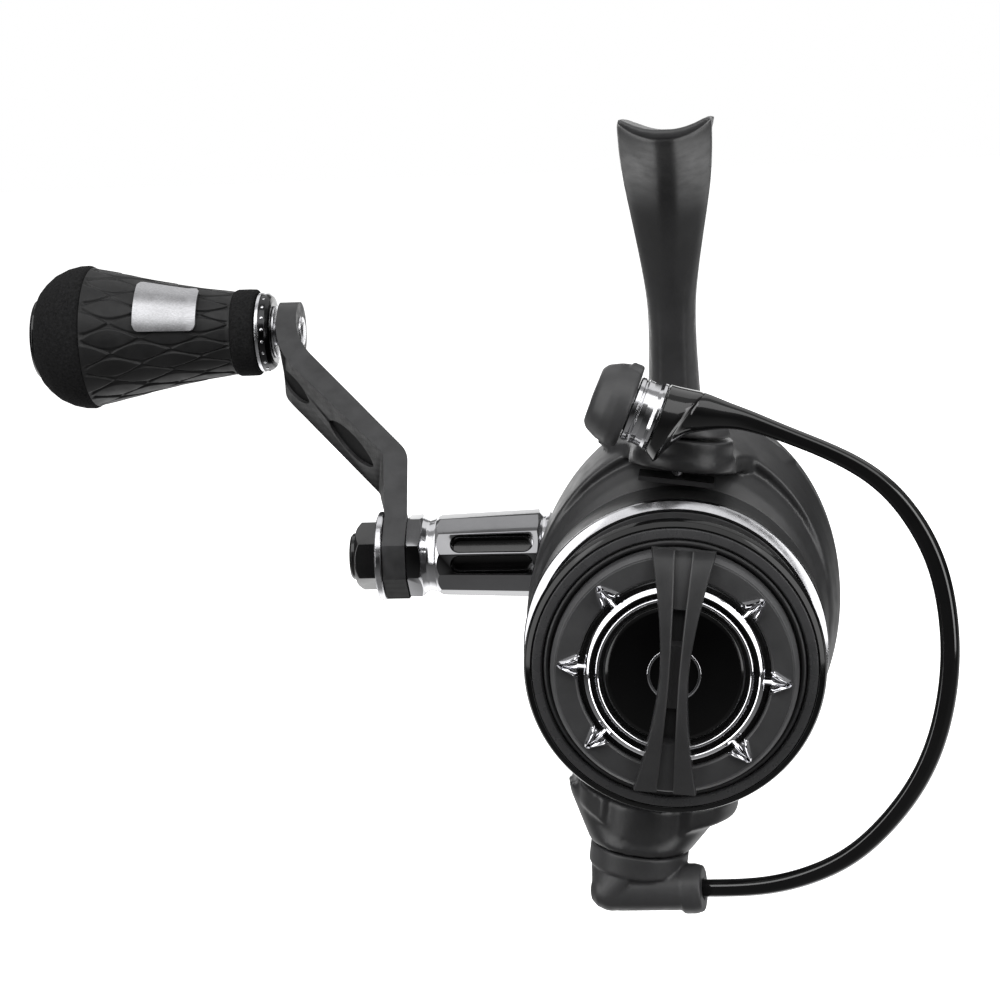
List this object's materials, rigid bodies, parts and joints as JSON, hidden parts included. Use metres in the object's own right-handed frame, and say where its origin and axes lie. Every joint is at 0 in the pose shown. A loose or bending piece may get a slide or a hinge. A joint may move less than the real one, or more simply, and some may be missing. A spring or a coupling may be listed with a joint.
{
  "type": "spinning reel",
  "caption": "Spinning fishing reel with saddle foot and stem, geared crank handle with turning knob, rotor with fold-over bail and line roller, sliding spool and front drag knob.",
  "frame": {"origin": "centre of the flat valley of the foot's saddle, where it seats on a rod", "axes": "+Z out of the foot towards the rod, +Y to the rear along the spool axis, +X to the right seen from the front"},
  "size_m": [0.1542, 0.107, 0.1159],
  "materials": {
    "body_black": "satin black paint",
    "knob_plastic": "moulded plastic",
    "gloss_black": "gloss black",
    "dark_chrome": "dark polished plating",
    "arm_metal": "grey satin with dark woven-look outer face",
    "silver": "polished",
    "steel": "machined",
    "brass": "machined",
    "foam": "closed-cell foam, matte",
    "grip_rubber": "moulded rubber with a scale pattern",
    "carbon": "carbon-fibre friction washer"
  },
  "bodies": {
    "frame": {"body_housing": "body_black", "side_cover": "body_black", "cover_cap": "silver", "cover_screw_1": "steel", "cover_screw_2": "steel", "cover_screw_3": "steel", "drive_bearing_handle_side": "steel", "drive_bearing_cover_side": "steel", "pinion_bearing_front": "steel", "pinion_bush_rear": "brass", "one_way_clutch": "steel", "oscillation_guide_rod": "steel"},
    "crank": {"drive_gear": "steel", "oscillation_drive_gear": "brass", "handle_shank": "dark_chrome", "shank_collar": "silver", "handle_arm": "arm_metal", "arm_washer": "silver", "arm_nut": "gloss_black", "knob_spindle": "steel", "knob_screw": "steel"},
    "handle_knob": {"knob_bearing_inner": "steel", "knob_bearing_outer": "steel", "knob_core": "knob_plastic", "knob_collar": "dark_chrome", "knob_foam_ring": "foam", "knob_sleeve": "grip_rubber", "knob_foam_dome": "foam", "knob_end_cap": "gloss_black", "knob_plate": "silver"},
    "rotor": {"rotor": "body_black", "rotor_arm_cover": "body_black", "bail_spring": "steel", "pinion_gear": "brass", "clutch_sleeve": "steel", "rotor_nut": "steel", "bail_pivot_screw_upper": "dark_chrome", "bail_pivot_screw_lower": "dark_chrome"},
    "bail": {"bail_arm": "body_black", "bail_wire": "gloss_black", "bail_mount": "body_black", "line_roller_bearing": "steel", "line_roller_pin": "steel"},
    "line_roller": {"line_roller": "silver"},
    "main_shaft": {"main_shaft": "steel", "oscillation_slider": "knob_plastic", "slider_screw": "steel", "drag_washer_keyed": "steel", "drag_pressure_plate": "steel"},
    "spool": {"spool": "body_black", "spool_trim_ring": "silver", "drag_washer_carbon_1": "carbon", "drag_washer_carbon_2": "carbon", "drag_washer_eared": "steel"},
    "drag_knob": {"drag_knob": "body_black", "drag_trim_left": "silver", "drag_trim_right": "silver", "drag_nut": "brass", "drag_spring": "steel"},
    "oscillation_gear": {"oscillation_gear": "brass"}
  },
  "joints": [
    {"name": "crank_turn", "type": "hinge", "parent": "frame", "child": "crank", "pos_m": [0, 0.007, -0.0673], "axis": [1, 0, 0], "continuous": true},
    {"name": "knob_turn", "type": "hinge", "parent": "crank", "child": "handle_knob", "pos_m": [0, 0.04097, -0.03297], "axis": [1, 0, 0], "continuous": true},
    {"name": "rotor_turn", "type": "hinge", "parent": "frame", "child": "rotor", "pos_m": [0, -0.017, -0.0735], "axis": [0, 1, 0], "continuous": true},
    {"name": "bail_swing", "type": "hinge", "parent": "rotor", "child": "bail", "pos_m": [-0.00188, -0.032, -0.07325], "axis": [-0.1323, 0, -0.9912], "range_deg": [0, 130]},
    {"name": "roller_turn", "type": "hinge", "parent": "bail", "child": "line_roller", "pos_m": [-0.00318, -0.0445, -0.03803], "axis": [0.9232, 0, -0.3843], "continuous": true},
    {"name": "spool_stroke", "type": "slide", "parent": "frame", "child": "main_shaft", "axis": [0, -1, 0], "range_m": [0, 0.0085]},
    {"name": "spool_slip", "type": "hinge", "parent": "main_shaft", "child": "spool", "pos_m": [0, -0.037, -0.0735], "axis": [0, 1, 0], "continuous": true},
    {"name": "drag_turn", "type": "hinge", "parent": "main_shaft", "child": "drag_knob", "pos_m": [0, -0.049, -0.0735], "axis": [0, 1, 0], "range_deg": [-360, 360]},
    {"name": "oscillation_turn", "type": "hinge", "parent": "frame", "child": "oscillation_gear", "pos_m": [0, 0.0199, -0.072], "axis": [1, 0, 0], "continuous": true}
  ],
  "couplings": [
    {"joint": "rotor_turn", "follows": "crank_turn", "ratio": 5.2222},
    {"joint": "oscillation_turn", "follows": "crank_turn", "ratio": -0.5}
  ]
}
